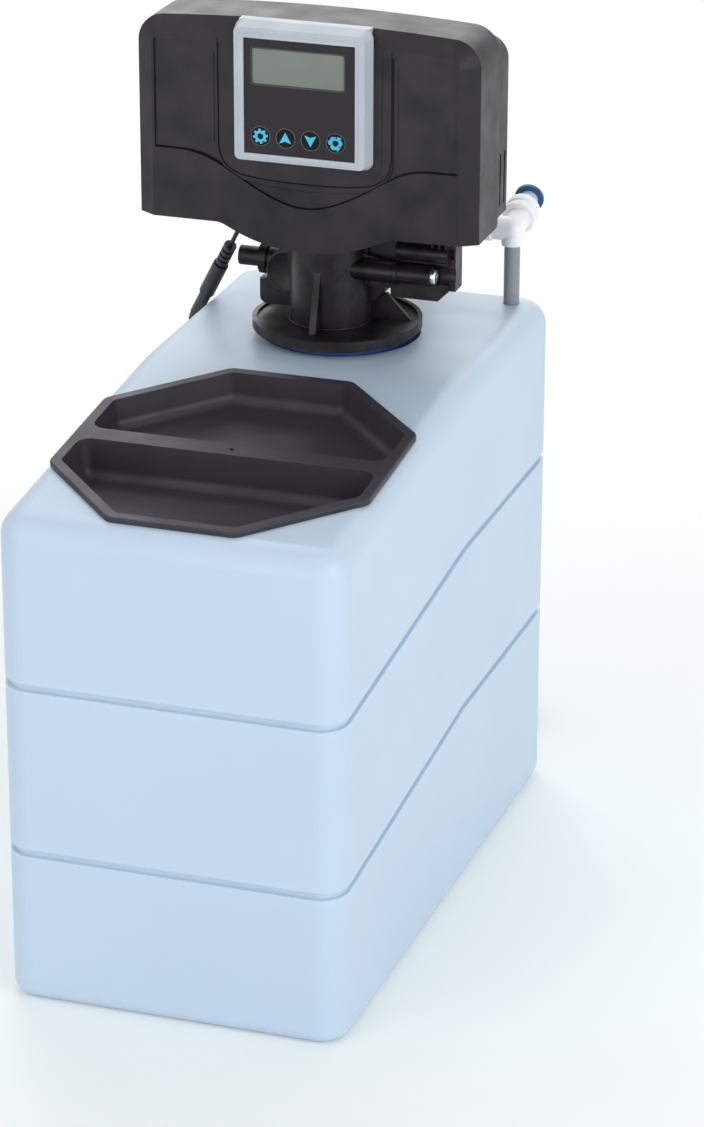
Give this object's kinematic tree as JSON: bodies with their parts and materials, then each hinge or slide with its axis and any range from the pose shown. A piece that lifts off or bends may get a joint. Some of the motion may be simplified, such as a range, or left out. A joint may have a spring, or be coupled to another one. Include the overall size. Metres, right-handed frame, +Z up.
{
  "type": "water softener",
  "caption": "Compact cabinet water softener with a lift-off salt lid, a neck-mounted control valve with panel and keys, rear water ports, drain and brine fittings and a lead with adaptor.",
  "frame": {"origin": "centre of the cabinet's footprint, on the floor", "axes": "+Z up, the front with the salt lid and the panel faces -Y, +X to the right seen from the front"},
  "size_m": [0.247, 0.523, 0.566],
  "materials": {
    "cabinet_plastic": "satin",
    "black_plastic": "satin",
    "lid_plastic": "fine grain",
    "frame_plastic": "satin",
    "panel_film": "satin",
    "display_window": "gloss",
    "button_plastic": "satin",
    "tank_plastic": "gloss",
    "tube_plastic": "satin",
    "white_plastic": "gloss",
    "clear_plastic": "clear",
    "collet_plastic": "gloss",
    "gear_plastic": "satin",
    "seal_rubber": "matt",
    "resin_beads": "granular",
    "board": "gloss",
    "motor_steel": "satin",
    "screw_steel": "bright",
    "cord_jacket": "matt"
  },
  "bodies": {
    "softener": {"cabinet_shell": "cabinet_plastic", "resin_tank": "tank_plastic", "tank_foot": "black_plastic", "tank_gasket": "seal_rubber", "riser_tube": "tube_plastic", "bottom_strainer": "gear_plastic", "top_strainer": "gear_plastic", "resin_bed": "resin_beads", "salt_platform": "gear_plastic", "brine_well": "white_plastic", "well_cap": "black_plastic", "air_check": "clear_plastic", "brine_tube": "tube_plastic", "overflow_spigot": "black_plastic", "overflow_nut": "black_plastic", "valve_body": "black_plastic", "meter_cage": "gear_plastic", "seal_rings": "seal_rubber", "spacer_cages": "gear_plastic", "end_plug": "black_plastic", "drive_plate": "black_plastic", "drive_motor": "motor_steel", "front_cover": "black_plastic", "rear_housing": "black_plastic", "control_frame": "frame_plastic", "control_panel": "panel_film", "display": "display_window", "circuit_board": "board", "injector_housing": "black_plastic", "injector_cap": "black_plastic", "injector_nozzle": "white_plastic", "injector_screw": "screw_steel", "drain_nut": "black_plastic", "drain_spigot": "black_plastic", "brine_elbow": "white_plastic", "elbow_nut": "white_plastic", "brine_stem": "clear_plastic", "lead_grommet": "cord_jacket", "power_lead": "cord_jacket", "lead_socket": "cord_jacket", "lead_plug": "cord_jacket", "adaptor_lead": "cord_jacket", "adaptor_coil": "cord_jacket", "adaptor_tail": "cord_jacket", "mains_adaptor": "black_plastic"},
    "lid": {"salt_lid": "lid_plastic"},
    "settings_key": {"button_settings": "button_plastic"},
    "up_key": {"button_up": "button_plastic"},
    "down_key": {"button_down": "button_plastic"},
    "regenerate_key": {"button_regenerate": "button_plastic"},
    "drive_wheel": {"drive_gear": "gear_plastic"},
    "reduction_wheel": {"reduction_gear": "gear_plastic"},
    "pinion": {"motor_pinion": "gear_plastic"},
    "piston_rod": {"piston": "gear_plastic"},
    "meter_turbine": {"turbine": "white_plastic"},
    "float": {"safety_float": "white_plastic"},
    "ball": {"check_ball": "white_plastic"},
    "collet": {"release_collet": "collet_plastic"}
  },
  "joints": [
    {"name": "lid_lift", "type": "slide", "parent": "softener", "child": "lid", "axis": [0, -0.0987, 0.9951], "range_m": [0, 0.15]},
    {"name": "settings_press", "type": "slide", "parent": "softener", "child": "settings_key", "axis": [0, 1, 0], "range_m": [0, 0.001], "stiffness_N_per_m": 600},
    {"name": "up_press", "type": "slide", "parent": "softener", "child": "up_key", "axis": [0, 1, 0], "range_m": [0, 0.001], "stiffness_N_per_m": 600},
    {"name": "down_press", "type": "slide", "parent": "softener", "child": "down_key", "axis": [0, 1, 0], "range_m": [0, 0.001], "stiffness_N_per_m": 600},
    {"name": "regenerate_press", "type": "slide", "parent": "softener", "child": "regenerate_key", "axis": [0, 1, 0], "range_m": [0, 0.001], "stiffness_N_per_m": 600},
    {"name": "drive_gear_turn", "type": "hinge", "parent": "softener", "child": "drive_wheel", "pos_m": [-0.004, 0.06, 0.457], "axis": [0, 1, 0], "range_deg": [0, 1080]},
    {"name": "reduction_gear_turn", "type": "hinge", "parent": "softener", "child": "reduction_wheel", "pos_m": [-0.02637, 0.055, 0.48895], "axis": [0, 1, 0], "range_deg": [-3600, 0]},
    {"name": "motor_pinion_turn", "type": "hinge", "parent": "softener", "child": "pinion", "pos_m": [-0.04324, 0.05, 0.50906], "axis": [0, 1, 0], "range_deg": [0, 11520]},
    {"name": "piston_slide", "type": "slide", "parent": "softener", "child": "piston_rod", "axis": [0, 1, 0], "range_m": [0, 0.024]},
    {"name": "turbine_spin", "type": "hinge", "parent": "softener", "child": "meter_turbine", "pos_m": [-0.0318, 0.184, 0.3835], "axis": [0, 1, 0], "continuous": true},
    {"name": "float_rise", "type": "slide", "parent": "softener", "child": "float", "axis": [0, 0, 1], "range_m": [0, 0.09]},
    {"name": "check_ball_lift", "type": "slide", "parent": "softener", "child": "ball", "axis": [0, 0, 1], "range_m": [0, 0.007]},
    {"name": "collet_press", "type": "slide", "parent": "softener", "child": "collet", "axis": [0, -0.9677, -0.2521], "range_m": [0, 0.0012], "stiffness_N_per_m": 800}
  ],
  "couplings": [
    {"joint": "reduction_gear_turn", "follows": "drive_gear_turn", "ratio": -3.3333},
    {"joint": "motor_pinion_turn", "follows": "drive_gear_turn", "ratio": 10.667},
    {"joint": "piston_slide", "follows": "drive_gear_turn", "m_per_rad": 0.0012732}
  ]
}
